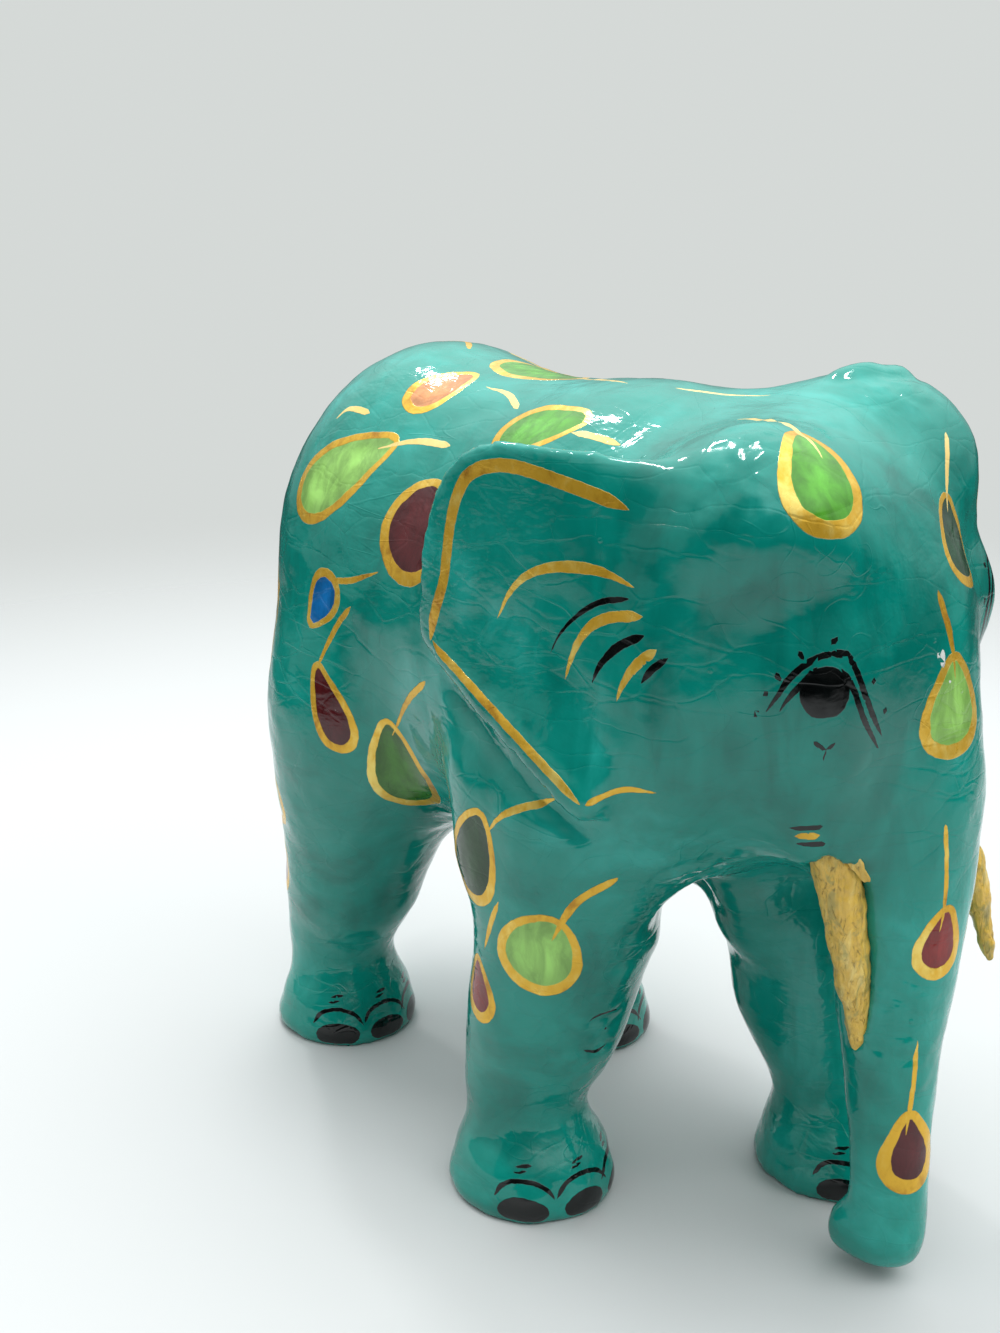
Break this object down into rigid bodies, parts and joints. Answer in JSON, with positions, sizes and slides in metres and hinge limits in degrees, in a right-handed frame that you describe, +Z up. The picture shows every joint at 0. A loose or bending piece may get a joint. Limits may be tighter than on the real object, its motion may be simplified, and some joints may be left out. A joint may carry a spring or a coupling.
{
  "type": "papier-mache elephant ornament",
  "caption": "Standing papier-mache elephant ornament in glossy folk-painted finish, mid-stride, head turned to its left, with large ears, tusks and a trunk hanging nearly to the ground.",
  "frame": {"origin": "on the ground under the middle of the part's box", "axes": "+Z up; the elephant faces -Y, its own right side is -X"},
  "size_m": [0.2566, 0.4856, 0.4472],
  "materials": {
    "painted_paper": "brushed teal paint with gold, black and coloured motifs, under glossy varnish",
    "tusk_paper": "creased paper painted golden yellow, satin"
  },
  "bodies": {
    "root": {"body": "painted_paper", "tusk_right": "tusk_paper", "tusk_left": "tusk_paper"}
  },
  "joints": []
}
